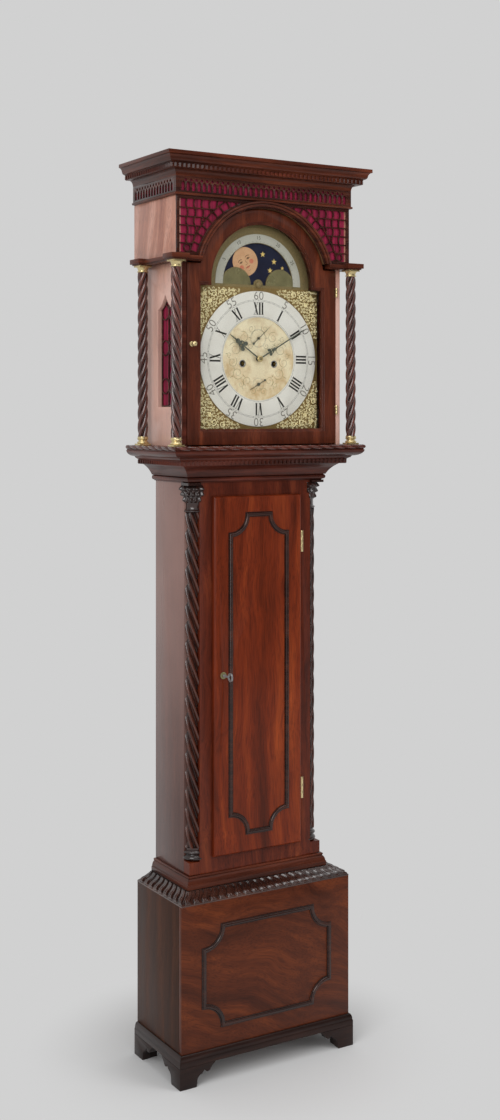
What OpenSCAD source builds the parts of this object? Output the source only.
// An eight day longcase clock with an arched moon dial, in a mahogany case.
// Millimetres. +Z is up and the dial faces -Y. Inside the modules the wall is the plane y = 0
// and at_wall() brings the whole clock over the middle of its own footprint.

/* [Base] */
// Height of the bracket feet
foot_h = 48; // [42:1:60]
// Width of a bracket foot where it meets the floor
foot_b = 42; // [34:1:48]
// Thickness of the foot brackets
foot_t = 20; // [16:1:24]
// Height of the plinth moulding
plinth_h = 27; // [22:1:34]
// Projection of the plinth moulding
plinth_p = 8; // [6:0.5:12]
// Width of the base box
base_w = 453; // [440:1:480]
// Depth of the base box
base_d = 219; // [210:1:240]
// Height of the base box above the plinth
base_h = 329; // [280:1:360]
// Thickness of the case boards
board = 12; // [10:0.5:14]
// Margin from the base edges to the applied bead
base_margin = 56.5; // [50:0.5:64]
// Radius of the hollow corners of the base bead
base_notch = 49; // [40:1:56]
// Width of the applied beads
bead_w = 7; // [5:0.5:9]

/* [Waist] */
// Height of the carved cove on top of the base
carved_h = 20.5; // [18:0.5:26]
// Height of the plain moulding above the carved cove
waist_h = 29.5; // [26:0.5:36]

/* [Trunk] */
// Width of the trunk
trunk_w = 356; // [346:1:366]
// Depth of the trunk
trunk_d = 167; // [160:1:176]
// Height of the trunk between the waist and the throat
trunk_h = 895; // [860:5:930]
// Thickness of the trunk front frame
frame_t = 14; // [12:1:16]
// Side of the square corner that holds a quarter column
notch = 27; // [25:1:30]
// Width of the stile between a quarter column and the door
trunk_stile = 32; // [28:1:36]
// Height of the rail below the trunk door
rail_low = 35; // [30:1:60]
// Height of the rail above the trunk door
rail_top = 32; // [28:1:60]
// Overlap of the door lip on the frame
lip = 12; // [10:0.5:14]
// Distance the door lip stands in front of the frame
lip_t = 12; // [10:0.5:14]
// Radius of the hollow corners of the trunk door bead
door_notch = 45.5; // [36:0.5:52]
// Margin from the door edges to the applied bead
door_margin = 42.5; // [38:0.5:48]
// Number of strands in a quarter column, counted round the full circle
quarter_strands = 8; // [6:1:10]
// Height in which a quarter column strand makes one full turn
quarter_lead = 320; // [240:10:400]

/* [Throat] */
// Height of the throat moulding under the hood
throat_h = 54; // [50:1:60]
// Height of the hood base plate
plate_h = 30.5; // [29:0.5:36]
// Projection of the hood base plate beyond the trunk
plate_p = 79.5; // [77:0.5:84]

/* [Hood] */
// Width of the lower hood box
hood_w = 430; // [424:1:440]
// Depth of the lower hood box
hood_d = 198.5; // [194:0.5:204]
// Height from the hood base plate to the shelf over the columns
column_zone = 417.5; // [412:0.5:430]
// Thickness of the shelf over the columns
shelf_h = 11; // [10:0.5:14]
// Projection of the shelf beyond the upper box
shelf_p = 12; // [10:0.5:14]
// Width of the upper hood box
upper_w = 469; // [463:1:475]
// Depth of the upper hood box
upper_d = 209.5; // [207:0.5:216]
// Height of the upper hood box between shelf and frieze
upper_h = 136; // [134:1:150]
// Height of the pierced frieze
frieze_h = 42; // [38:1:50]
// Height of the cornice
cornice_h = 50; // [46:1:60]
// Projection of the cornice beyond the upper box
cornice_p = 40.5; // [38:0.5:48]
// Height of the arch centre above the hood base plate
arch_rise = 376.5; // [374:0.5:380]
// Radius of the hood door arch
arch_r = 171; // [169:0.5:172]
// Width of the hood door stiles and rails
door_stile = 32; // [29:0.5:33]
// Radius of the opening in the door arch
sight_r = 142; // [140:0.5:144]
// Thickness of the hood door
hood_door_t = 22; // [20:0.5:23]
// Side of the square blocks over and under the columns
block_side = 45; // [40:1:48]
// Width of a pierced lancet window in the hood side
lancet_w = 69; // [60:1:76]
// Height of a lancet window up to its shoulders
lancet_h = 224; // [200:2:236]

/* [Frets] */
// Width and height of a cell in the spandrel frets
fret_cell = 20; // [18:0.5:23]
// Width of the bars of the frets
fret_bar = 2.6; // [2.2:0.1:3.6]
// Distance between two arches of the frieze
frieze_cell = 13.7; // [12.5:0.1:16]

/* [Columns] */
// Radius of a twisted hood column
column_r = 12.3; // [11:0.1:13]
// Number of strands in a hood column
strands = 4; // [3:1:5]
// Height in which a strand makes one full turn
strand_lead = 112; // [90:2:140]
// Distance from the centre line to the column axes
column_x = 237; // [236:0.5:240]
// Distance from the wall to the front columns
column_y_front = 213; // [212:0.5:216]
// Distance from the wall to the rear columns
column_y_rear = 49; // [44:1:60]

/* [Dial] */
// Side of the square part of the dial plate
dial_side = 330; // [326:1:332]
// Thickness of the dial plate
dial_t = 2.4; // [2:0.1:3]
// Distance from the wall to the front of the dial plate
dial_y = 176; // [174.5:0.5:176.5]
// Height of the dial centre above the hood base plate
dial_rise = 201.5; // [200:0.5:203]
// Outer radius of the chapter ring
chapter_r = 158; // [154:0.5:160]
// Inner radius of the chapter ring
chapter_in = 97; // [94:0.5:100]
// Outer radius of the lunar ring
lunar_r = 116; // [112:0.5:120]
// Inner radius of the lunar ring
lunar_in = 96; // [95:0.5:98]
// Length of the minute hand from the centre
minute_l = 146; // [136:1:150]
// Length of the hour hand from the centre
hour_l = 98; // [90:1:104]

/* [Movement] */
// Width of the movement plates
plates_w = 172; // [170:1:180]
// Height of the movement plates
plates_h = 185; // [184:1:192]
// Thickness of the movement plates
plate_t = 3; // [2.5:0.1:3.5]
// Distance between the two movement plates
plate_gap = 63; // [62:0.5:65]
// Distance from the back of the dial to the front plate
dial_gap = 27.6; // [26.6:0.2:29]
// Radius at which the line winds on the barrels
barrel_r = 24.5; // [22:0.5:25]
// Sideways distance from the centre to a winding arbor
arbor_x = 43; // [42.5:0.1:43.5]
// Drop from the centre to a winding arbor
arbor_drop = 11.5; // [11:0.1:12]
// Radius of the bell
bell_r = 42; // [38:1:44]
// Length of the pendulum from its bending point to the bob centre
pendulum_l = 994; // [960:2:1010]
// Radius of the pendulum bob
bob_r = 55; // [48:1:58]
// Thickness of the pendulum bob
bob_t = 24; // [20:1:28]
// Radius of a driving weight
weight_r = 30; // [27:0.5:31]
// Length of a driving weight
weight_l = 190; // [170:5:210]
// Radius of the line in the groove of a pulley
pulley_r = 22; // [21:0.5:23]
// Drop of the pulley axes below the seatboard
weight_drop = 390; // [300:10:500]
// Radius of the gut lines
line_r = 1; // [0.8:0.1:1.2]

/* [Hidden] */
$fn = 64;

// Gap that keeps pieces of different bodies apart
clear = 0.3;
// Radial clearance of the running fits
fit = 0.05;
// Hairline joint between mitred mouldings
hair = 0.1;

// Heights from the floor
z_base = foot_h + plinth_h;
z_carved = z_base + base_h;
z_waist = z_carved + carved_h;
z_trunk = z_waist + waist_h;
z_throat = z_trunk + trunk_h;
z_plate = z_throat + throat_h;
z_hood = z_plate + plate_h;
z_shelf = z_hood + column_zone;
z_upper = z_shelf + shelf_h;
z_frieze = z_upper + upper_h;
z_cornice = z_frieze + frieze_h;
z_top = z_cornice + cornice_h;
z_arch = z_hood + arch_rise;
z_dial = z_hood + dial_rise;
z_tails = z_carved - 60;

// Half widths and depths
cornice_d = upper_d + cornice_p;
foot_x = base_w / 2 + plinth_p;
foot_y = base_d + plinth_p;
bracket_l = foot_b + 50;
half_trunk = trunk_w / 2;
col_x = half_trunk - notch;
col_y = trunk_d - notch;
waist_p = (base_w - trunk_w) / 2;
waist_front = base_d - trunk_d;
waist_out = 11.5;
door_x = col_x - trunk_stile;
door_z0 = z_trunk + rail_low;
door_z1 = z_throat - rail_top;
side_in = hood_w / 2 - board;
lock_x = 96;
lock_z = z_trunk + 451;
half_upper = upper_w / 2;
frieze_p = 3.5;
fret_t = 3.5;
silk_t = 0.5;
board_front = upper_d - fret_t - silk_t;

// Hood door
hd_x = side_in - 1;
hd_y = hood_d + 2;
hd_z0 = z_hood + 2.5;
hd_z1 = z_shelf - 3;
glass_y = hd_y - 8.6;
glass_t = 2.4;
ring_in = arch_r + 5;
ring_out = ring_in + 12;
hole_r = arch_r + 1.5;

// Humps that hide the moons
hump_x = 60;
hump_r = 39.5;

// Hinges
trunk_pin = [door_x + 4.5, trunk_d + 4.3];
trunk_knuckle = 4;
trunk_hinge_h = 50;
trunk_hinge_z = [door_z0 + 129, door_z1 - 113];
hood_pin = [side_in - 0.5, hd_y + 3];
hood_knuckle = 2.8;
hood_hinge_h = 22;
hood_hinge_z = [z_hood + 82.5, z_hood + 362.5];

// Movement
front_y = dial_y - dial_t - dial_gap;
rear_y = front_y - 2 * plate_t - plate_gap;
z_seat = z_dial - 95;
seat_t = 20;
seat_y0 = 60;
seat_y1 = 150;
escape_rise = 48;
z_escape = z_dial + escape_rise;
z_pivot = z_escape + 33;
pend_y = 50;
line_y = 112;
barrel_y1 = front_y - plate_t - 7;
barrel_y0 = barrel_y1 - 40;
great_y = barrel_y0 - 7;
wheel_t = 2.4;
centre_y = great_y - 6;
third_y = front_y - plate_t - 4.5;
escape_y = 112;
great_teeth = 96;
strike_teeth = 78;
centre_leaves = 8;
centre_teeth = 60;
third_leaves = 8;
third_teeth = 56;
escape_leaves = 7;
escape_teeth = 30;
arbor_d = norm([arbor_x, arbor_drop]);
great_m = 2 * arbor_d / (great_teeth + centre_leaves);
centre_m = 0.85;
third_m = 0.80;
centre_c = centre_m * (centre_teeth + third_leaves) / 2;
third_c = third_m * (third_teeth + escape_leaves) / 2;
third_z = (centre_c * centre_c - third_c * third_c + escape_rise * escape_rise) / (2 * escape_rise);
third_x = -sqrt(centre_c * centre_c - third_z * third_z);
escape_r = 20.5;
arbor_r = 3.5;
bell_x = -35;
bell_z = z_pivot + 26;
hammer = [30, -14];

// Weights
function strand_x(s) = s * arbor_x - barrel_r;
function weight_x(s) = strand_x(s) + pulley_r;
z_pulley = z_seat - seat_t - weight_drop;
z_weight = z_pulley - pulley_r - 18;

module at_wall() {
    translate([0, cornice_d / 2, 0]) children();
}
module both_sides() {
    children();
    mirror([1, 0, 0]) children();
}
// A solid standing in plan, between two heights
module plan(z0, z1) {
    translate([0, 0, z0]) linear_extrude(z1 - z0) children();
}
// A flat outline in X and Z, between two distances from the wall
module upright(y0, y1) {
    translate([0, -y0, 0]) rotate([90, 0, 0]) linear_extrude(y1 - y0) children();
}
// A flat outline in Y and Z, between two distances from the middle
module sideways(x0, x1) {
    translate([x0, 0, 0]) rotate([90, 0, 90]) linear_extrude(x1 - x0) children();
}
module box(x0, x1, y0, y1, z0, z1) {
    translate([x0, -y1, z0]) cube([x1 - x0, y1 - y0, z1 - z0]);
}
// A rod along Y, between two distances from the wall
module rod(x, z, r, y0, y1) {
    translate([x, -y0, z]) rotate([90, 0, 0]) cylinder(r = r, h = y1 - y0);
}
function arc(c, r, a0, a1, n = 8) =
    [for (i = [0:n]) c + r * [cos(a0 + (a1 - a0) * i / n), sin(a0 + (a1 - a0) * i / n)]];
function oval(c, rx, ry, a0, a1, n = 8) =
    [for (i = [0:n]) c + [rx * cos(a0 + (a1 - a0) * i / n), ry * sin(a0 + (a1 - a0) * i / n)]];
function curve(a, b, c, n = 6) =
    [for (i = [0:n]) let (t = i / n) (1 - t) * (1 - t) * a + 2 * t * (1 - t) * b + t * t * c];
function lobed(r, dip, count, per) =
    [for (i = [0:count * per - 1]) let (a = 360 * i / (count * per))
        (r - dip * (1 - cos(a * count)) / 2) * [cos(a), sin(a)]];

// A mitred moulding round the front and both sides of a box w wide and d deep.
// Its outline holds [distance out from the face, height] pairs. It stands out by reach at the
// sides, and the front run is stretched to stand out by front.
module mould(outline, w, d, reach, inset = 0, front = 0) {
    e = w / 2;
    f = front == 0 ? reach : front;
    intersection() {
        translate([-e - reach, -d, 0]) rotate([90, 0, 90]) linear_extrude(2 * (e + reach))
            polygon([for (p = outline) [-p[0] * f / reach, p[1]]]);
        translate([0, 0, -1]) linear_extrude(z_top + 2) polygon([
            [-e + inset + hair, -d + inset], [e - inset - hair, -d + inset],
            [e + reach - hair, -d - f], [-e - reach + hair, -d - f]]);
    }
    both_sides() intersection() {
        translate([e, 0, 0]) rotate([90, 0, 0]) linear_extrude(d + f) polygon(outline);
        translate([0, 0, -1]) linear_extrude(z_top + 2) polygon([
            [e - inset, 0], [e + reach, 0], [e + reach, -d - f], [e - inset, -d + inset]]);
    }
}
function lift(outline, z) = [for (p = outline) [p[0], p[1] + z]];

// A half round bead laid on a flat front, along a straight run or round a hollow corner
module bead_run(a, b) {
    v = b - a;
    translate([a[0], 0, a[1]]) rotate([0, -atan2(v[1], v[0]), 0]) rotate([0, 90, 0])
        intersection() {
            cylinder(r = bead_w / 2, h = norm(v), $fn = 24);
            translate([-bead_w, -bead_w, -1]) cube([2 * bead_w, bead_w, norm(v) + 2]);
        }
}
module bead_turn(c, r, a0) {
    translate([c[0], 0, c[1]]) rotate([90, 0, 0]) rotate([0, 0, a0])
        rotate_extrude(angle = 90, $fn = 48) translate([r, 0])
            intersection() {
                circle(r = bead_w / 2, $fn = 24);
                translate([-bead_w, 0]) square([2 * bead_w, bead_w]);
            }
}
// The applied bead frame with four hollow corners, standing on the plane y = 0
module cartouche(x, z0, z1, r) {
    o = bead_w / 2;
    bead_run([-x + r - o, z1], [x - r + o, z1]);
    bead_run([-x + r - o, z0], [x - r + o, z0]);
    bead_run([-x, z0 + r - o], [-x, z1 - r + o]);
    bead_run([x, z0 + r - o], [x, z1 - r + o]);
    bead_turn([-x, z0], r, 0);
    bead_turn([x, z0], r, 90);
    bead_turn([x, z1], r, 180);
    bead_turn([-x, z1], r, 270);
}

// Base
foot_outline = concat([[0, 0], [foot_b, 0], [foot_b + 2, 8]],
    arc([foot_b + 18, 12], 16, 180, 100, 5), [[foot_b + 20, 34]],
    arc([foot_b + 29, 37], 8, 190, 350, 6), [[bracket_l, foot_h], [0, foot_h]]);
module foot_front() {
    translate([-foot_x, -foot_y + foot_t, 0]) rotate([90, 0, 0])
        linear_extrude(foot_t) polygon(foot_outline);
    translate([-foot_x, -foot_y, 0]) rotate([90, 0, 90])
        linear_extrude(foot_t) polygon(foot_outline);
    box(-foot_x + foot_t - 1, -foot_x + foot_b - 2, foot_y - foot_b + 2, foot_y - foot_t + 1, 0, foot_h);
}
module foot_rear() {
    translate([-foot_x, 0, 0]) mirror([0, 1, 0]) rotate([90, 0, 90])
        linear_extrude(foot_t) polygon(foot_outline);
    box(-foot_x + foot_t - 1, -foot_x + foot_b - 2, 2, foot_b - 2, 0, foot_h);
}
module bracket_feet() {
    color("#3a1812") at_wall() both_sides() {
        foot_front();
        foot_rear();
    }
}
module plinth_moulding() {
    p = plinth_p;
    outline = concat([[0, 0], [p, 0], [p, plinth_h * 0.42], [p - 1.2, plinth_h * 0.5]],
        oval([0, plinth_h * 0.55], p - 1.2, plinth_h * 0.45, 0, 90));
    color("#4a1f16") at_wall() mould(lift(outline, foot_h), base_w, base_d, p);
}
module base_front() {
    color("#8c3a1e") at_wall()
        box(-base_w / 2, base_w / 2, base_d - board, base_d, foot_h, z_carved);
}
module base_panel_bead() {
    color("#4a1f16") at_wall() translate([0, -base_d, 0])
        cartouche(base_w / 2 - base_margin - 0.5, z_base + base_margin - 8.5,
            z_carved - base_margin, base_notch);
}
module base_carcass() {
    e = base_w / 2;
    inner = base_d - board;
    color("#8a4a38") at_wall() {
        both_sides() box(e - board, e, 0, inner, foot_h, z_carved);
        box(-e + board, e - board, board, inner, foot_h + board, foot_h + 2 * board);
        both_sides() box(half_trunk, e - board, 20, inner, z_carved - 24, z_carved);
        box(-half_trunk, half_trunk, trunk_d, inner, z_carved - 24, z_carved);
    }
}
module carved_moulding() {
    outline = concat([[0, 0], [waist_p, 0], [waist_p, 3]],
        curve([waist_p - 1, 3], [waist_p - 24, 5], [waist_out + 0.5, carved_h - 1]),
        [[waist_out + 0.5, carved_h], [0, carved_h]]);
    color("#3a1812") at_wall()
        mould(lift(outline, z_carved), trunk_w, trunk_d, waist_p, 0, waist_front);
}
module waist_moulding() {
    out = waist_out;
    outline = concat([[0, 0], [out, 0], [out, waist_h * 0.36]],
        curve([out - 1.5, waist_h * 0.36], [out - 2, waist_h * 0.66], [5, waist_h * 0.76]),
        arc([3, waist_h * 0.88], 3, -60, 90, 5), [[0, waist_h * 0.88 + 3]]);
    color("#4a1f16") at_wall()
        mould(lift(outline, z_waist), trunk_w, trunk_d, out, 0, out * waist_front / waist_p);
}
module backboard() {
    inner = half_trunk - board;
    color("#6b4526") at_wall() {
        upright(0, board) polygon([
            [-base_w / 2 + board, foot_h + board], [base_w / 2 - board, foot_h + board],
            [base_w / 2 - board, z_tails], [inner, z_tails], [inner, z_plate],
            [half_trunk, z_plate], [half_trunk, z_hood + 4], [side_in - 1, z_hood + 4],
            [side_in - 1, z_upper + 2], [half_upper - board - 1.5, z_upper + 2],
            [half_upper - board - 1.5, z_top - 30], [-half_upper + board + 1.5, z_top - 30],
            [-half_upper + board + 1.5, z_upper + 2], [-side_in + 1, z_upper + 2],
            [-side_in + 1, z_hood + 4], [-half_trunk, z_hood + 4], [-half_trunk, z_plate],
            [-inner, z_plate], [-inner, z_tails], [-base_w / 2 + board, z_tails]]);
    }
}

// Trunk
module trunk_sides() {
    e = half_trunk;
    post = col_x - frame_t;
    color("#8a4a38") at_wall() both_sides() {
        plan(z_tails, z_plate) polygon([[e, 0], [e, -col_y], [col_x, -col_y],
            [col_x, -trunk_d + frame_t], [post, -trunk_d + frame_t], [post, -col_y + board],
            [e - board, -col_y + board], [e - board, 0]]);
        box(e - board, e, board + 1, seat_y1, z_plate, z_seat - seat_t);
    }
}
module trunk_front_frame() {
    color("#8c3a1e") at_wall() difference() {
        box(-col_x, col_x, trunk_d - frame_t, trunk_d, z_tails, z_plate);
        box(-door_x + lip, door_x - lip, trunk_d - frame_t - 1, trunk_d + 1, door_z0 + lip,
            door_z1 - lip);
        for (z = trunk_hinge_z)
            box(door_x - lip - 1, trunk_pin[0] + 2, trunk_d - 1.6, trunk_d + 1,
                z - trunk_hinge_h / 2, z + trunk_hinge_h / 2);
    }
}
module quarter_turned(outline) {
    rotate([0, 0, -90]) rotate_extrude(angle = 90) polygon(outline);
}
module quarter_column() {
    r = notch - 2.5;
    z_block = z_trunk + 28;
    z_shaft = z_block + 30;
    z_neck = z_throat - 68;
    translate([col_x, -col_y, 0]) {
        translate([0, -notch, z_trunk]) cube([notch, notch, 28]);
        quarter_turned(concat([[0, z_block]], arc([notch - 4, z_block + 4], 4, -90, 90, 6),
            curve([r - 1, z_block + 9], [r - 5, z_block + 13], [r - 1, z_block + 17]),
            arc([r - 2, z_block + 20.5], 3, -80, 90, 6), [[r - 1, z_shaft], [0, z_shaft]]));
        intersection() {
            plan(z_shaft, z_neck) translate([0, -r]) square([r, r]);
            translate([0, 0, z_shaft]) linear_extrude(z_neck - z_shaft, segments = 4 * quarter_strands,
                twist = -360 * (z_neck - z_shaft) / quarter_lead, slices = 48)
                polygon(lobed(r, 4, quarter_strands, 4));
        }
        quarter_turned(concat([[0, z_neck]], arc([r - 1, z_neck + 3], 3, -90, 90, 6),
            curve([r - 3, z_neck + 6], [r - 2, z_neck + 22], [r + 4, z_neck + 27]),
            [[r + 5, z_neck + 30], [r + 3, z_neck + 32]],
            curve([r - 1, z_neck + 33], [r, z_neck + 48], [r + 6, z_neck + 54]),
            [[r + 7, z_neck + 58], [r + 4, z_neck + 60], [0, z_neck + 60]]));
        translate([0, -notch - 4, z_neck + 60]) cube([notch + 4, notch + 4, 8]);
    }
}
module trunk_columns() {
    color("#3a1812") at_wall() both_sides() quarter_column();
}
module throat_moulding() {
    top = plate_p - 27.5;
    outline = concat([[0, 0], [3, 0], [4, 2]], arc([4.5, 8], 6, -90, 80, 6), [[11, 14], [11, 16]],
        curve([11.5, 16], [18.5, 30], [top - 19, 39]), [[top - 18, 40], [top - 6, 40], [top - 5,
            throat_h - 3],
        [top, throat_h], [0, throat_h]]);
    color("#4a1f16") at_wall() mould(lift(outline, z_throat), trunk_w, trunk_d, top);
}
module seatboard() {
    color("#6b4526") at_wall() difference() {
        box(-half_trunk, half_trunk, seat_y0, seat_y1, z_seat - seat_t, z_seat);
        for (s = [-1, 1], q = [-1, 1])
            translate([weight_x(s) + q * pulley_r, -line_y, z_seat - seat_t - 1]) cylinder(r = 4,
                h = seat_t + 2);
    }
}

// Butt hinges: a leaf let in behind the joint, with its share of the knuckle
module knuckle(pin, r, z0, z1, bore) {
    translate([pin[0], -pin[1], z0]) difference() {
        cylinder(r = r, h = z1 - z0, $fn = 32);
        if (bore > 0) translate([0, 0, -1]) cylinder(r = bore, h = z1 - z0 + 2, $fn = 32);
    }
}
module trunk_hinge_leaves() {
    h = trunk_hinge_h / 2;
    color("#c9a24a") at_wall() for (z = trunk_hinge_z) {
        box(door_x - lip, trunk_pin[0] + 2, trunk_d - 1.6, trunk_d - clear, z - h, z + h);
        for (s = [[-h, -h / 3], [h / 3, h]]) {
            knuckle(trunk_pin, trunk_knuckle, z + s[0], z + s[1], 0);
            box(trunk_pin[0] - 1.5, trunk_pin[0] + 2, trunk_d - 1.6, trunk_pin[1], z + s[0], z + s[1]);
        }
        knuckle(trunk_pin, 1.5, z - h, z + h, 0);
    }
}
module trunk_door_hinge_leaves() {
    h = trunk_hinge_h / 2;
    k = h / 3 - 0.15;
    color("#c9a24a") at_wall() for (z = trunk_hinge_z) {
        box(door_x - lip + 2, door_x, trunk_d + clear, trunk_d + 1.8, z - h, z + h);
        knuckle(trunk_pin, trunk_knuckle, z - k, z + k, 1.5 + fit);
        box(door_x - 1, trunk_pin[0] - 2.5, trunk_d + clear, trunk_d + 1.8, z - k, z + k);
    }
}
module trunk_door() {
    f = trunk_d + clear;
    edge = function (a, b) concat([[a, f], [b, f], [b, f + 4]],
        [for (p = oval([b - 6, trunk_d + 5], 6, lip_t - 5, 0, 90, 5)) p],
        [for (p = oval([a + 6, trunk_d + 5], 6, lip_t - 5, 90, 180, 5)) p], [[a, f + 4]]);
    color("#8c3a1e") at_wall() difference() {
        union() {
            intersection() {
                plan(door_z0, door_z1) polygon([for (p = edge(-door_x, door_x)) [p[0], -p[1]]]);
                sideways(-door_x, door_x) polygon([for (p = edge(door_z0, door_z1)) [-p[1], p[0]]]);
            }
            box(-door_x + lip + 1.5, door_x - lip - 1.5, trunk_d - frame_t - 2, f + 1,
                door_z0 + lip + 1.5, door_z1 - lip - 1.5);
        }
        for (z = trunk_hinge_z)
            box(door_x - lip + 2, door_x + 1, f - 1, trunk_d + 1.8, z - trunk_hinge_h / 2,
                z + trunk_hinge_h / 2);
        rod(-lock_x, lock_z, 2.6, trunk_d - frame_t - 3, trunk_d + lip_t + 1);
    }
}
module trunk_door_bead() {
    color("#4a1f16") at_wall() translate([0, -trunk_d - lip_t, 0])
        cartouche(door_x - door_margin, door_z0 + door_margin + 4.5, door_z1 - door_margin - 1.5,
            door_notch);
}
module trunk_lock() {
    y = trunk_d - frame_t - 2;
    color("#c9a24a") at_wall() {
        difference() {
            box(-lock_x - 8.5, -lock_x + 32, y - 9, y, lock_z - 24, lock_z + 24);
            rod(-lock_x, lock_z, 2.6, y - 10, y + 1);
        }
        difference() {
            rod(-lock_x, lock_z, 8, trunk_d + lip_t, trunk_d + lip_t + 1.5);
            rod(-lock_x, lock_z, 2.6, trunk_d + lip_t - 1, trunk_d + lip_t + 2);
        }
    }
}
module trunk_key() {
    y1 = trunk_d + lip_t + 24;
    color("#b8963e") at_wall() {
        rod(-lock_x, lock_z, 2.5, trunk_d - frame_t - 9, y1);
        rod(-lock_x, lock_z, 3.6, trunk_d + lip_t + 4, trunk_d + lip_t + 7);
        translate([-lock_x, -y1 - 8, lock_z]) rotate([0, 90, 0]) difference() {
            translate([0, 0, -1.5]) cylinder(r = 10, h = 3);
            translate([0, 0, -2]) cylinder(r = 6.5, h = 4);
        }
    }
}

// Hood
module hood_base_frame() {
    outline = concat([[1, 0], [plate_p - 26.5, 0], [plate_p - 24.5, 3]],
        curve([plate_p - 23.5, 4], [plate_p - 4.5, 6], [plate_p - 1.5, 18]),
        [[plate_p - 3.5, 19.5], [plate_p - 3.5, plate_h - 9]],
        arc([plate_p - 4.5, plate_h - 4.5], 4.5, -90, 90, 6), [[1, plate_h]]);
    color("#4a1f16") at_wall() mould(lift(outline, z_plate), trunk_w, trunk_d, plate_p, -1);
}
module lancet(grow) {
    w = lancet_w / 2 + grow;
    z0 = z_hood + 89 - grow;
    z1 = z_hood + 89 + lancet_h;
    tip = z1 + 34 + grow;
    y = -hood_d * 0.595;
    polygon(concat([[y - w, z0], [y + w, z0], [y + w, z1]],
        curve([y + w, z1], [y + w * 0.45, z1 + 6], [y, tip]),
        curve([y, tip], [y - w * 0.45, z1 + 6], [y - w, z1])));
}
module hood_side_panels() {
    color("#b0705c") at_wall() both_sides() {
        difference() {
            box(side_in, hood_w / 2, 0, hood_d, z_hood, z_shelf);
            sideways(side_in - 1, hood_w / 2 + 1) lancet(0);
            for (z = hood_hinge_z)
                box(side_in - 1, side_in + 1.2, hood_d - 14, hood_d + 1,
                    z - hood_hinge_h / 2, z + hood_hinge_h / 2);
        }
        difference() {
            box(half_upper - board, half_upper, 0, upper_d - fret_t, z_upper, z_top - board);
            box(half_upper - silk_t, half_upper + 1, -1, upper_d, z_frieze, z_cornice);
            box(half_upper - board - 1, half_upper + 1, 14, upper_d - 20, z_frieze + 8, z_cornice - 4);
        }
    }
}
module front_outline(x, z0, z1, r) {
    difference() {
        translate([-x, z0]) square([2 * x, z1 - z0]);
        translate([0, z_arch]) circle(r = r, $fn = 96);
    }
}
module hood_front_board() {
    color("#6b4526") at_wall() {
        difference() {
            union() {
                upright(board_front - board, board_front)
                    front_outline(half_upper - board, z_upper, z_top - board, hole_r);
                box(-half_upper + board, half_upper - board, board_front - board, upper_d - silk_t,
                    z_frieze, z_top - board);
                box(-half_upper + board, half_upper - board, upper_d - 1, upper_d, z_cornice,
                    z_top - board);
            }
            box(-half_upper + board + 8, half_upper - board - 8, board_front - board - 1, upper_d + 1,
                z_frieze + 8, z_cornice - 4);
            both_sides() upright(board_front - board - 1, board_front + 1) difference() {
                translate([hole_r - 60, z_upper + 12])
                    square([half_upper - board - 8 - hole_r + 60, upper_h - 24]);
                translate([0, z_arch]) circle(r = ring_out + 5, $fn = 96);
            }
        }
        box(-half_upper + board, half_upper - board, board + 1, board_front - board,
            z_top - 2 * board, z_top - board);
    }
}
module frieze_bar(len, pitch) {
    n = floor((len - 12) / pitch);
    x0 = (len - n * pitch) / 2;
    h = frieze_h - 5;
    difference() {
        square([len, h]);
        for (i = [0:n - 1]) {
            translate([x0 + (i + 0.5) * pitch, 4]) polygon(concat(
                [[-pitch * 0.32, 0], [pitch * 0.32, 0], [pitch * 0.32, h * 0.36]],
                curve([pitch * 0.32, h * 0.36], [pitch * 0.3, h * 0.5], [0, h * 0.58], 3),
                curve([0, h * 0.58], [-pitch * 0.3, h * 0.5], [-pitch * 0.32, h * 0.36], 3)));
            if (i > 0)
                translate([x0 + i * pitch, h * 0.76]) circle(r = pitch * 0.24, $fn = 16);
        }
    }
}
module bowed(h, bow) {
    w = fret_bar / 2;
    polygon(concat(curve([-w, 0], [2 * bow - w, h / 2], [-w, h]), curve([w, h], [2 * bow + w, h / 2],
        [w, 0])));
}
module hoop(r) {
    difference() {
        circle(r = r + fret_bar / 2);
        circle(r = r - fret_bar / 2);
    }
}
module spandrel_fret() {
    edge = 8;
    x1 = half_upper - edge;
    inner = ring_out + 4;
    band = inner + 0.8 * fret_cell;
    rows = round((upper_h - 2 * edge) / fret_cell);
    tall = (upper_h - 2 * edge) / rows;
    difference() {
        translate([0, z_upper]) square([half_upper, upper_h]);
        translate([0, z_arch]) circle(r = hole_r, $fn = 96);
        difference() {
            translate([0, z_upper + edge]) square([x1, upper_h - 2 * edge]);
            translate([0, z_arch]) {
                circle(r = inner, $fn = 96);
                difference() {
                    circle(r = band + fret_bar, $fn = 96);
                    circle(r = band, $fn = 96);
                }
                for (a = [12:6:84])
                    rotate(a) translate([inner - 1, -fret_bar / 2]) square([band - inner + 2, fret_bar]);
            }
            difference() {
                for (i = [0:rows - 1]) translate([0, z_upper + edge + i * tall]) {
                    if (i > 0) translate([0, -fret_bar / 2]) square([x1, fret_bar]);
                    for (x = [x1 - fret_cell:-fret_cell:0]) translate([x, 0]) bowed(tall,
                        i % 2 == 1 ? 3.2 : -1.6);
                }
                translate([0, z_arch]) circle(r = band + 1, $fn = 96);
                translate([x1 - fret_cell, z_upper + edge + tall / 2]) circle(r = 0.42 * fret_cell);
            }
            translate([x1 - fret_cell, z_upper + edge + tall / 2]) hoop(0.42 * fret_cell);
        }
    }
}
module lancet_fret() {
    y = -hood_d * 0.595;
    z0 = z_hood + 89;
    bar = 4;
    intersection() {
        lancet(0);
        union() {
            difference() {
                lancet(1);
                lancet(-bar);
            }
            translate([y - bar / 2, z0]) square([bar, lancet_h + 30]);
            for (z = [z0 + 48, z0 + 136, z0 + lancet_h - 6], s = [-1, 1])
                translate([y + s * lancet_w / 4, z]) hoop(lancet_w / 4, $fn = 32);
        }
    }
}
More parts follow.
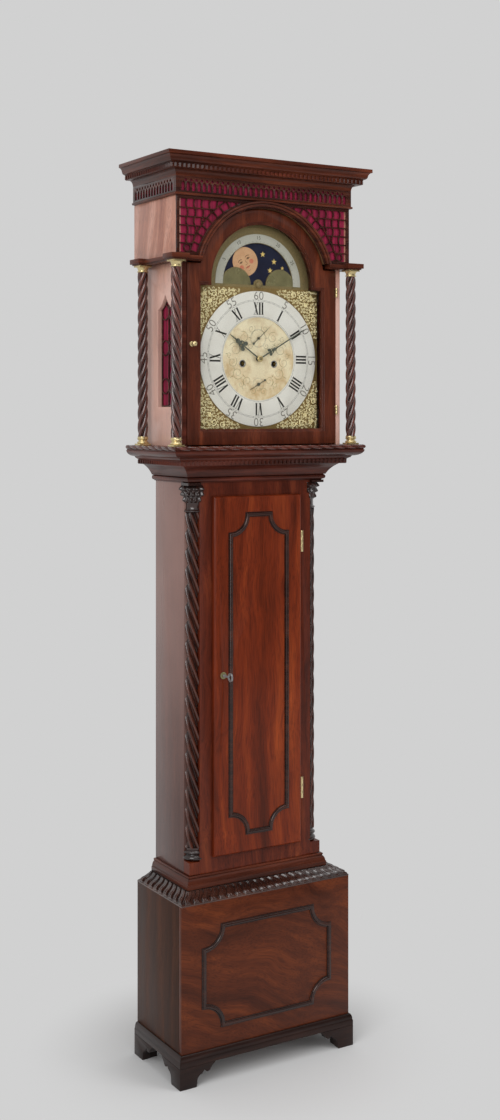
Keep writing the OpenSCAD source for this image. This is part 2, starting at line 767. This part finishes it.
module hood_frets() {
    color("#2c1512") at_wall() {
        both_sides() upright(upper_d - fret_t, upper_d) spandrel_fret();
        upright(upper_d, upper_d + frieze_p) translate([-half_upper - frieze_p, z_frieze + 5])
            frieze_bar(upper_w + 2 * frieze_p, frieze_cell);
        both_sides() {
            sideways(half_upper, half_upper + frieze_p) translate([-upper_d + hair, z_frieze + 5])
                frieze_bar(upper_d - hair, frieze_cell);
            sideways(side_in, side_in + 3) lancet_fret();
        }
    }
}
module hood_cornice() {
    p = cornice_p;
    h = cornice_h;
    outline = concat([[0, 0], [frieze_p, 0]], curve([frieze_p, 0.5], [frieze_p + 1, 11], [10, 13]),
        [[10, 14], [p - 18, 14], [p - 17, 15], [p - 17, 24], [p - 15.5, 25]],
        curve([p - 15.5, 26], [p - 9, 26.5], [p - 8, 33], 4), curve([p - 8, 33], [p - 7, 40],
            [p - 1.5, h - 8], 4),
        [[p, h - 8], [p, h], [0, h]]);
    base = concat([[0, -1], [frieze_p + 0.5, -1]], arc([frieze_p, 2], 3, -80, 80, 5), [[0, 5]]);
    color("#5a2418") at_wall() {
        mould(lift(outline, z_cornice), upper_w, upper_d, p);
        mould(lift(base, z_frieze), upper_w, upper_d, frieze_p + 3);
    }
}
module hood_silk() {
    color("#8e1838") at_wall() {
        both_sides() upright(upper_d - fret_t - silk_t, upper_d - fret_t) difference() {
            translate([60, z_upper + 3]) square([half_upper - board - 60, upper_h - 6]);
            translate([0, z_arch]) circle(r = ring_in + 6, $fn = 96);
        }
        upright(upper_d - silk_t, upper_d)
            translate([-half_upper + 3, z_frieze + 6]) square([upper_w - 6, frieze_h - 8]);
        both_sides() {
            sideways(half_upper - silk_t, half_upper)
                translate([-upper_d + fret_t + 3, z_frieze + 6]) square([upper_d - fret_t - 6,
                    frieze_h - 8]);
            sideways(side_in - silk_t, side_in) lancet(4);
        }
    }
}
module hood_arch_moulding() {
    b = block_side / 2;
    color("#5a2418") at_wall() {
        intersection() {
            translate([0, -upper_d, z_arch]) rotate([90, 0, 0]) rotate_extrude($fn = 96)
                polygon(concat([[ring_in, 0], [ring_out, 0], [ring_out, 6]],
                    arc([ring_out - 3, 6], 3, 0, 180, 6), arc([ring_in + 3, 5], 3, 0, 180, 6)));
            box(-ring_out - 1, ring_out + 1, upper_d - 1, upper_d + 12, z_upper, z_frieze - 1);
        }
        both_sides() difference() {
            union() {
                for (x = [[side_in, board + 1], [hole_r, board_front - board]]) {
                    box(x[0], half_upper + shelf_p, x[1], upper_d + shelf_p, z_shelf + 3, z_upper);
                    box(x[0], half_upper + shelf_p - 5, x[1], upper_d + shelf_p - 5, z_shelf, z_upper);
                }
                for (y = [column_y_front, column_y_rear]) {
                    box(column_x - b, column_x + b, y - b, y + b, z_shelf + 3, z_upper + 3);
                    box(column_x - b + 4, column_x + b - 4, y - b + 4, y + b - 4, z_shelf, z_upper);
                }
            }
            box(0, half_upper, -1, upper_d, z_upper, z_upper + 10);
        }
    }
}
module twisted(turn) {
    h = column_zone - 36;
    linear_extrude(h, twist = turn * 360 * h / strand_lead, slices = round(h / strand_lead * 14),
        segments = 4 * strands) polygon(lobed(column_r, 3, strands, 4));
}
module at_columns() {
    for (s = [-1, 1], y = [column_y_front, column_y_rear])
        translate([s * column_x, -y, 0]) children();
}
module hood_columns() {
    color("#3a1812") at_wall()
        for (s = [-1, 1], y = [column_y_front, column_y_rear])
            translate([s * column_x, -y, z_hood + 20]) twisted(s * (y == column_y_front ? -1 : 1));
}
module hood_column_brasses() {
    r = column_r;
    color("#c9a24a") at_wall() at_columns() {
        translate([-14, -14, z_hood]) cube([28, 28, 4]);
        translate([0, 0, z_hood]) rotate_extrude() polygon(concat([[0, 4], [r + 1, 4]],
            arc([r - 1, 6.5], 2.5, -90, 90, 5), curve([r - 1.5, 9], [r - 3, 11], [r - 1, 13]),
            arc([r - 1, 15], 2, -90, 90, 5), [[r, 17], [r, 20], [0, 20]]));
        translate([0, 0, z_shelf]) rotate_extrude() polygon(concat([[0, -16], [r - 0.5, -16]],
            arc([r - 0.5, -14.5], 1.5, -90, 90, 5), curve([r - 1.5, -13], [r - 1, -7], [r + 3, -4]),
                [[0, -4]]));
        translate([-15.5, -15.5, z_shelf - 4]) cube([31, 31, 4]);
    }
}
module hood_hinge_leaves() {
    h = hood_hinge_h / 2;
    color("#c9a24a") at_wall() for (z = hood_hinge_z) {
        box(side_in, side_in + 1.2, hood_d - 14, hood_d, z - h, z + h);
        for (s = [[-h, -h / 3], [h / 3, h]]) {
            knuckle(hood_pin, hood_knuckle, z + s[0], z + s[1], 0);
            box(side_in, side_in + 1.2, hood_d - 1, hood_pin[1], z + s[0], z + s[1]);
        }
        knuckle(hood_pin, 1, z - h, z + h, 0);
    }
}
module hood_door_hinge_leaves() {
    h = hood_hinge_h / 2;
    k = h / 3 - 0.15;
    color("#c9a24a") at_wall() for (z = hood_hinge_z) {
        box(hd_x - 1.2, hd_x, hd_y - 14, hd_y, z - h, z + h);
        knuckle(hood_pin, hood_knuckle, z - k, z + k, 1 + fit);
        box(hd_x - 1.2, hd_x, hd_y - 1, hood_pin[1] - 1.6, z - k, z + k);
    }
}
module door_shape(x, z0, z1, r) {
    translate([-x, z0]) square([2 * x, z1 - z0]);
    translate([0, z_arch]) intersection() {
        circle(r = r, $fn = 96);
        translate([-r, min(z1 - z_arch, 0) - 1]) square([2 * r, 2 * r]);
    }
}
module hood_door_frame() {
    s = hd_x - door_stile;
    z1 = z_arch - 4;
    color("#7a3320") at_wall() difference() {
        upright(hd_y - hood_door_t, hd_y) door_shape(hd_x, hd_z0, hd_z1, arch_r);
        upright(hd_y - 3, hd_y + 1) door_shape(s, hd_z0 + door_stile - 2, z1, sight_r);
        upright(hd_y - 6, hd_y + 1) door_shape(s - 3, hd_z0 + door_stile + 1, z1 - 3, sight_r - 3);
        upright(glass_y - 1, hd_y + 1) door_shape(s - 6, hd_z0 + door_stile + 4, z1 - 6, sight_r - 6);
        upright(hd_y - hood_door_t - 1, glass_y)
            door_shape(s - 2.5, hd_z0 + door_stile + 0.5, z1 - 2.5, sight_r - 2.5);
        for (z = hood_hinge_z)
            box(hd_x - 1.2, hd_x + 1, hd_y - 14, hd_y + 1, z - hood_hinge_h / 2, z + hood_hinge_h / 2);
    }
}
module hood_door_glass() {
    s = hd_x - door_stile - 3;
    color([0.8, 0.9, 0.9, 0.25]) at_wall() upright(glass_y - glass_t, glass_y)
        door_shape(s, hd_z0 + door_stile + 1, z_arch - 7, sight_r - 3);
}
module hood_door_knob() {
    color("#c9a24a") at_wall() translate([-hd_x + door_stile / 2 - 4, -hd_y, z_dial + 29.5])
        rotate([90, 0, 0]) rotate_extrude() polygon(concat([[0, 0], [6, 0], [6, 1.2], [2.6, 2], [2.4, 6]],
            arc([0, 11], 6.5, -55, 90, 8)));
}

// Dial
module dial_plate() {
    color("#c2a657") at_wall() {
        difference() {
            upright(dial_y - dial_t, dial_y) difference() {
                union() {
                    translate([-dial_side / 2, z_dial - dial_side / 2]) square(dial_side);
                    translate([0, z_arch]) circle(r = sight_r - 2, $fn = 96);
                }
                intersection() {
                    difference() {
                        translate([0, z_arch]) circle(r = lunar_in - 1, $fn = 96);
                        for (s = [-1, 1]) translate([s * hump_x, z_arch - 3]) circle(r = hump_r);
                        translate([0, z_arch - 2]) circle(r = 12.5);
                    }
                    translate([-lunar_in, z_arch - 3]) square([2 * lunar_in, lunar_in + 10]);
                }
                translate([0, z_dial]) circle(r = 6);
                translate([0, z_escape]) circle(r = 2.5);
                translate([0, z_dial - 59.5]) circle(r = 1.5 + fit);
                for (s = [-1, 1]) translate([s * arbor_x, z_dial - arbor_drop]) circle(r = 6.5);
            }
        }
        rod(0, z_arch - 2, 3, dial_y - dial_t - 6, dial_y - dial_t);
        rod(0, z_arch - 2, 6, dial_y - dial_t - 6, dial_y - dial_t - 4);
        for (x = [-70, 70], z = [z_dial - 75, z_dial + 65])
            rod(x, z, 3.5, front_y, dial_y - dial_t);
        translate([0, -dial_y, z_arch - 2]) rotate([90, 0, 0]) intersection() {
            sphere(r = 9);
            translate([-10, -10, 0]) cube([20, 20, 10]);
        }
    }
}
module chapter_ring() {
    color("#d8d6cc") at_wall() upright(dial_y, dial_y + 2.2) translate([0, z_dial]) difference() {
        circle(r = chapter_r, $fn = 128);
        circle(r = chapter_in, $fn = 96);
    }
}
module spandrel() {
    c = dial_side / 2 - 5;
    difference() {
        intersection() {
            translate([c - 92, c - 92]) square(92);
            union() {
                translate([c - 26, c - 26]) circle(r = 24);
                for (s = [0, 1]) mirror([s, -s]) {
                    translate([c - 56, c - 14]) circle(r = 15);
                    translate([c - 76, c - 9]) circle(r = 9);
                    translate([c - 42, c - 20]) circle(r = 14);
                }
            }
        }
        circle(r = chapter_r + 1, $fn = 128);
        translate([c - 30, c - 30]) circle(r = 5, $fn = 24);
        for (s = [0, 1]) mirror([s, -s]) {
            translate([c - 56, c - 12]) circle(r = 4, $fn = 24);
            translate([c - 36, c - 10]) circle(r = 3.5, $fn = 24);
            translate([c - 14, c - 14]) circle(r = 3.5, $fn = 24);
        }
    }
}
module dial_spandrels() {
    color("#d8b24e") at_wall() upright(dial_y, dial_y + 3) translate([0, z_dial])
        for (a = [0:90:270]) rotate(a) spandrel();
}
module lunar_ring() {
    color("#d8d6cc") at_wall() upright(dial_y, dial_y + 1.2) translate([0, z_arch]) intersection() {
        difference() {
            circle(r = lunar_r, $fn = 96);
            circle(r = lunar_in, $fn = 96);
        }
        translate([-lunar_r, -3]) square([2 * lunar_r, lunar_r + 4]);
    }
}
module moon_disc() {
    y1 = dial_y - dial_t - 0.4;
    color("#1c2a55") at_wall() difference() {
        rod(0, z_arch - 2, lunar_in + 1, y1 - 1.4, y1);
        rod(0, z_arch - 2, 3 + fit, y1 - 3, y1 + 1);
    }
}
module hand_blade(l, tip, eye, hub) {
    circle(r = hub, $fn = 32);
    polygon([[-1.6, 0], [1.6, 0], [1.2, l - 8], [0, l], [-1.2, l - 8]]);
    difference() {
        union() {
            translate([0, eye]) circle(r = tip, $fn = 32);
            translate([0, eye + tip * 1.5]) circle(r = tip * 0.7, $fn = 32);
            for (s = [-1, 1]) translate([s * tip * 0.9, eye - tip]) circle(r = tip * 0.6, $fn = 32);
        }
        for (s = [-1, 1]) translate([s * tip * 0.45, eye]) circle(r = tip * 0.3, $fn = 16);
    }
}
module hour_hand() {
    color("#1b1d2b") at_wall() difference() {
        union() {
            translate([0, 0, z_dial]) rotate([0, -55, 0]) upright(dial_y + 4.4, dial_y + 5.6)
                hand_blade(hour_l, 8.5, 58, 7);
            rod(0, z_dial, 5, front_y + 2, dial_y + 5);
        }
        rod(0, z_dial, 3.5 + fit, front_y, dial_y + 7);
    }
}
module minute_hand() {
    color("#1b1d2b") at_wall() difference() {
        union() {
            translate([0, 0, z_dial]) rotate([0, 60, 0]) upright(dial_y + 7.2, dial_y + 8.4)
                hand_blade(minute_l, 6, 38, 6);
            rod(0, z_dial, 3.5, front_y + 2, dial_y + 8);
            rod(0, z_dial, 4.5, dial_y + 8, dial_y + 10.5);
        }
        rod(0, z_dial, 2 + fit, front_y, dial_y + 12);
    }
}
module seconds_hand() {
    color("#1b1d2b") at_wall() translate([0, 0, z_escape]) rotate([0, 48, 0]) {
        upright(dial_y + 3.2, dial_y + 3.8) difference() {
            union() {
                circle(r = 3.2, $fn = 24);
                polygon([[-0.9, -18], [0.9, -18], [0.9, 0], [0.3, 39], [-0.3, 39], [-0.9, 0]]);
                translate([0, -19]) circle(r = 3, $fn = 24);
            }
            circle(r = 1.2, $fn = 24);
        }
    }
}
module date_hand() {
    color("#1b1d2b") at_wall() translate([0, 0, z_dial - 59.5]) {
        rotate([0, 60, 0]) upright(dial_y + 1.6, dial_y + 2.4) {
            circle(r = 4, $fn = 24);
            polygon([[-0.9, 0], [0.9, 0], [0.5, 22], [-0.5, 22]]);
            translate([0, 20]) circle(r = 2.6, $fn = 24);
            polygon([[-0.9, 0], [0.9, 0], [0.4, -27], [-0.4, -27]]);
        }
        rod(0, 0, 1.5, dial_y - dial_t - 3, dial_y + 2);
        rod(0, 0, 5, dial_y - dial_t - 3, dial_y - dial_t - 1);
    }
}

// Movement
plate_holes = [[arbor_x, -arbor_drop, arbor_r], [-arbor_x, -arbor_drop, arbor_r], [0, 0, 2],
    [third_x, third_z, 1.5], [0, escape_rise, 1.2], [0, escape_rise + 33, 1.5],
    [hammer[0], escape_rise + 33 + hammer[1], 1.5]];
module movement_plates() {
    w = plates_w / 2;
    color("#c9a24a") at_wall() {
        difference() {
            union() {
                box(-w, w, front_y - plate_t, front_y, z_seat, z_seat + plates_h);
                box(-w, w, rear_y, rear_y + plate_t, z_seat, z_seat + plates_h);
            }
            for (h = plate_holes) rod(h[0], z_dial + h[1], h[2] + fit, rear_y - 1, front_y + 1);
        }
        for (x = [-w + 8, w - 8], z = [z_seat + 9, z_seat + plates_h - 9])
            rod(x, z, 5, rear_y + plate_t, front_y - plate_t);
        for (s = [-1, 1]) box(s * 11 - 3, s * 11 + 3, rear_y - 3, rear_y, z_pivot - 16, z_pivot + 8);
        difference() {
            box(-14, 14, pend_y - 8, rear_y, z_pivot + 8, z_pivot + 14);
            box(-0.8, 0.8, pend_y - 9, pend_y + 6, z_pivot + 7, z_pivot + 15);
        }
        box(-5, 5, pend_y - 4, pend_y + 4, z_pivot + 14, z_pivot + 21);
        box(-0.15, 0.15, pend_y - 3, pend_y + 3, z_pivot + clear, z_pivot + 15);
        rod(bell_x, z_pivot + 2, 4, rear_y + plate_t, front_y - plate_t);
        translate([bell_x, -line_y, z_pivot + 2]) cylinder(r = 2.5, h = bell_z - z_pivot + 44);
        translate([bell_x, -line_y, bell_z + 29]) cylinder(r = 4, h = 3.8);
        translate([bell_x, -line_y, bell_z + 36 + clear]) cylinder(r = 5, h = 5);
    }
}
// A wheel or pinion with straight flanked, round topped teeth, its first tooth at angle phase
function teeth(n, m, tall, deep, thick, phase) =
    [for (i = [0:n - 1]) let (a = phase + 360 * i / n, r = n * m / 2, q = 180 * thick / n)
        each [(r - deep * m) * [cos(a - q * 1.25), sin(a - q * 1.25)],
            r * [cos(a - q), sin(a - q)], (r + tall * m) * [cos(a - q * 0.3), sin(a - q * 0.3)],
            (r + tall * m) * [cos(a + q * 0.3), sin(a + q * 0.3)], r * [cos(a + q), sin(a + q)],
            (r - deep * m) * [cos(a + q * 1.25), sin(a + q * 1.25)]]];
module wheel(n, m, phase, y0, hub) {
    r = n * m / 2;
    upright(y0, y0 + wheel_t) difference() {
        polygon(teeth(n, m, 0.95, 1.3, 0.38, phase));
        difference() {
            circle(r = r - 5 * m);
            circle(r = hub + 3);
            for (a = [0:90:270]) rotate(a + phase) translate([-1.6, 0]) square([3.2, r]);
        }
    }
}
module pinion(n, m, phase, y0, y1) {
    upright(y0, y1) polygon(teeth(n, m, 0.7, 1.35, 0.32, phase));
}
great_a = atan2(arbor_drop, -arbor_x);
third_a = atan2(third_z, third_x);
escape_a = atan2(escape_rise - third_z, -third_x);
module barrel_body(s) {
    translate([s * arbor_x, 0, z_dial - arbor_drop]) {
        rod(0, 0, barrel_r - line_r - clear, barrel_y0 + 2, barrel_y1 - 2);
        rod(0, 0, barrel_r + 2.5, barrel_y0, barrel_y0 + 2);
        rod(0, 0, barrel_r + 2.5, barrel_y1 - 2, barrel_y1);
        rod(0, 0, arbor_r, rear_y, dial_y - dial_t - 3);
        rotate([0, 30, 0]) upright(dial_y - dial_t - 3, dial_y + 1) square(5.4, center = true);
    }
}
module going_barrel() {
    color("#c9a24a") at_wall() barrel_body(1);
}
module going_great_wheel() {
    color("#c9a24a") at_wall() translate([arbor_x, 0, z_dial - arbor_drop]) difference() {
        wheel(great_teeth, great_m, great_a, great_y, 8);
        rod(0, 0, arbor_r + fit, great_y - 1, great_y + 5);
    }
}
module strike_barrel() {
    color("#c9a24a") at_wall() {
        barrel_body(-1);
        translate([-arbor_x, 0, z_dial - arbor_drop]) {
            wheel(strike_teeth, great_m, 0, great_y, 8);
            rod(0, 0, 9, great_y, barrel_y0);
        }
    }
}
module centre_wheel() {
    color("#c9a24a") at_wall() translate([0, 0, z_dial]) {
        rod(0, 0, 2, rear_y, dial_y + 10);
        pinion(centre_leaves, great_m, great_a + 180 + 180 / centre_leaves, great_y - 1, great_y + 4);
        wheel(centre_teeth, centre_m, third_a, centre_y, 2);
    }
}
module third_wheel() {
    color("#c9a24a") at_wall() translate([third_x, 0, z_dial + third_z]) {
        rod(0, 0, 1.5, rear_y, front_y);
        pinion(third_leaves, centre_m, third_a + 180 + 180 / third_leaves, centre_y - 1, centre_y + 3.5);
        wheel(third_teeth, third_m, escape_a, third_y, 2);
    }
}
module escape_wheel() {
    q = 360 / escape_teeth;
    color("#c9a24a") at_wall() translate([0, 0, z_escape]) {
        rod(0, 0, 1.2, rear_y, dial_y + 3.8);
        pinion(escape_leaves, third_m, escape_a + 180 + 180 / escape_leaves, third_y - 1, third_y + 3.4);
        upright(escape_y, escape_y + 1.8) difference() {
            polygon([for (i = [0:escape_teeth - 1]) each [
                escape_r * [cos(q * i), sin(q * i)],
                (escape_r - 4) * [cos(q * i + 3), sin(q * i + 3)],
                (escape_r - 4) * [cos(q * i + 8), sin(q * i + 8)]]]);
            difference() {
                circle(r = escape_r - 7);
                circle(r = 4);
                for (a = [0:90:270]) rotate(a) translate([-1, 0]) square([2, escape_r]);
            }
        }
    }
}
module anchor() {
    color("#8f9094") at_wall() {
        translate([0, 0, z_escape]) upright(escape_y - 1, escape_y + 3) {
            intersection() {
                difference() {
                    circle(r = 29);
                    circle(r = 24.5);
                }
                polygon([[0, 0], [40, 33], [40, 60], [-40, 60], [-40, 33]]);
            }
            for (s = [-1, 1]) rotate(s * 47) translate([-1.5, escape_r + 1.5]) square([3, 5]);
            translate([0, 33]) circle(r = 5.5);
        }
        translate([0, 0, z_pivot]) {
            rod(0, 0, 1.5, rear_y - 12, front_y);
            rod(0, 0, 4, rear_y - 12, rear_y - 7);
            box(-2, 2, rear_y - 11, rear_y - 8, -116, 0);
            for (s = [-1, 1]) box(s * 4.2 - 1, s * 4.2 + 1, pend_y - 4, rear_y - 8, -116, -110);
            box(-5.2, 5.2, rear_y - 11, rear_y - 8, -116, -110);
        }
    }
}
module pendulum_rod() {
    z_bob = z_pivot - pendulum_l;
    color("#b9b4a6") at_wall() {
        box(-0.15, 0.15, pend_y - 3, pend_y + 3, z_pivot - 16, z_pivot);
        box(-3, 3, pend_y - 4, pend_y + 4, z_pivot - 30, z_pivot - 14);
        translate([0, -pend_y, z_bob - bob_r - 16]) cylinder(r = 2.6, h = pendulum_l + bob_r + 16 - 28);
        translate([0, -pend_y, z_bob - bob_r - 7 + clear]) cylinder(r = 9, h = 7, $fn = 24);
    }
}
module pendulum_bob() {
    rr = (bob_r * bob_r + bob_t * bob_t / 4) / bob_t;
    color("#c9a24a") at_wall() translate([0, -pend_y, z_pivot - pendulum_l]) difference() {
        rotate([90, 0, 0]) rotate_extrude($fn = 96) intersection() {
            translate([0, rr - bob_t / 2]) circle(r = rr, $fn = 256);
            translate([0, -rr + bob_t / 2]) circle(r = rr, $fn = 256);
            translate([0, -bob_t]) square([bob_r - 0.6, 2 * bob_t]);
        }
        translate([0, 0, -bob_r - 1]) cylinder(r = 2.6 + fit, h = 2 * bob_r + 2);
    }
}
module bell() {
    t = 3;
    color("#c9a24a") at_wall() translate([bell_x, -line_y, bell_z]) rotate_extrude()
        polygon(concat([[2.5 + fit, 33]], [for (p = oval([0, 4], bell_r - 2 - t, 29, 90, 0,
            10)) if (p[0] > 3) p],
            [[bell_r - t, 0], [bell_r, 0]], [for (p = oval([0, 4], bell_r - 2, 32, 0, 90,
                10)) if (p[0] > 3) p],
            [[2.5 + fit, 36]]));
}
module bell_hammer() {
    x = hammer[0];
    z = z_pivot + hammer[1];
    tip = [bell_x + bell_r + 4, bell_z + 5];
    color("#8f9094") at_wall() {
        rod(x, z, 1.5, rear_y, front_y);
        rod(x, z, 4, line_y - 3, line_y + 3);
        hull() {
            rod(x, z, 1.6, line_y - 1.5, line_y + 1.5);
            rod(x - 4, tip[1], 1.6, line_y - 1.5, line_y + 1.5);
        }
        translate([tip[0], -line_y, tip[1]]) rotate([0, 90, 0]) cylinder(r = 5, h = x - tip[0] + 2);
    }
}
module weight_at(s) {
    color("#c9a24a") at_wall() translate([weight_x(s), -line_y, 0]) {
        translate([0, 0, z_weight - weight_l]) rotate_extrude() polygon(concat([[0, 0]],
            arc([weight_r - 3, 3], 3, -90, 0, 4), arc([weight_r - 3, weight_l - 3], 3, 0, 90, 4),
                [[0, weight_l]]));
        translate([0, 0, z_weight - 1]) cylinder(r = 3, h = 8);
        for (q = [-1, 1]) translate([0, q * 5.5, 0])
            box(-4, 4, -1, 1, z_weight + 6, z_pulley + 6);
        translate([-4, -6.5, z_weight + 5]) cube([8, 13, 3]);
        translate([0, 6.5, z_pulley]) rotate([90, 0, 0]) cylinder(r = 2, h = 13);
    }
}
module going_weight() {
    weight_at(1);
}
module strike_weight() {
    weight_at(-1);
}
module pulley_at(s) {
    color("#c9a24a") at_wall() translate([weight_x(s), -line_y, z_pulley]) rotate([90, 0, 0])
        rotate_extrude() polygon([[2 + fit, -3.5], [pulley_r + 2, -3.5], [pulley_r + 2, -2.8],
            [pulley_r - line_r - 0.2, -0.9], [pulley_r - line_r - 0.2, 0.9], [pulley_r + 2, 2.8],
            [pulley_r + 2, 3.5], [2 + fit, 3.5]]);
}
module going_pulley() {
    pulley_at(1);
}
module strike_pulley() {
    pulley_at(-1);
}
module line_at(s) {
    color("#cfc3a0") at_wall() translate([weight_x(s), -line_y, 0]) {
        translate([-pulley_r, 0, z_pulley]) cylinder(r = line_r, h = z_dial - arbor_drop - z_pulley,
            $fn = 16);
        translate([pulley_r, 0, z_pulley]) cylinder(r = line_r, h = z_seat - z_pulley + 1, $fn = 16);
        translate([pulley_r, 0, z_seat]) cylinder(r = 5.5, h = 4, $fn = 16);
        translate([0, 0, z_pulley]) rotate([90, 0, 0]) rotate([0, 0, 180])
            rotate_extrude(angle = 180) translate([pulley_r, 0]) circle(r = line_r, $fn = 16);
    }
}
module going_line() {
    line_at(1);
}
module strike_line() {
    line_at(-1);
}

bracket_feet();
plinth_moulding();
base_front();
base_panel_bead();
base_carcass();
carved_moulding();
waist_moulding();
backboard();
trunk_sides();
trunk_front_frame();
trunk_columns();
throat_moulding();
seatboard();
trunk_hinge_leaves();
trunk_door();
trunk_door_bead();
trunk_door_hinge_leaves();
trunk_lock();
trunk_key();
hood_base_frame();
hood_side_panels();
hood_frets();
hood_front_board();
hood_cornice();
hood_silk();
hood_arch_moulding();
hood_columns();
hood_column_brasses();
hood_hinge_leaves();
hood_door_frame();
hood_door_glass();
hood_door_knob();
hood_door_hinge_leaves();
dial_plate();
chapter_ring();
dial_spandrels();
lunar_ring();
moon_disc();
hour_hand();
minute_hand();
seconds_hand();
date_hand();
movement_plates();
going_barrel();
going_great_wheel();
centre_wheel();
third_wheel();
escape_wheel();
anchor();
pendulum_rod();
pendulum_bob();
strike_barrel();
bell();
bell_hammer();
going_weight();
strike_weight();
going_pulley();
strike_pulley();
going_line();
strike_line();
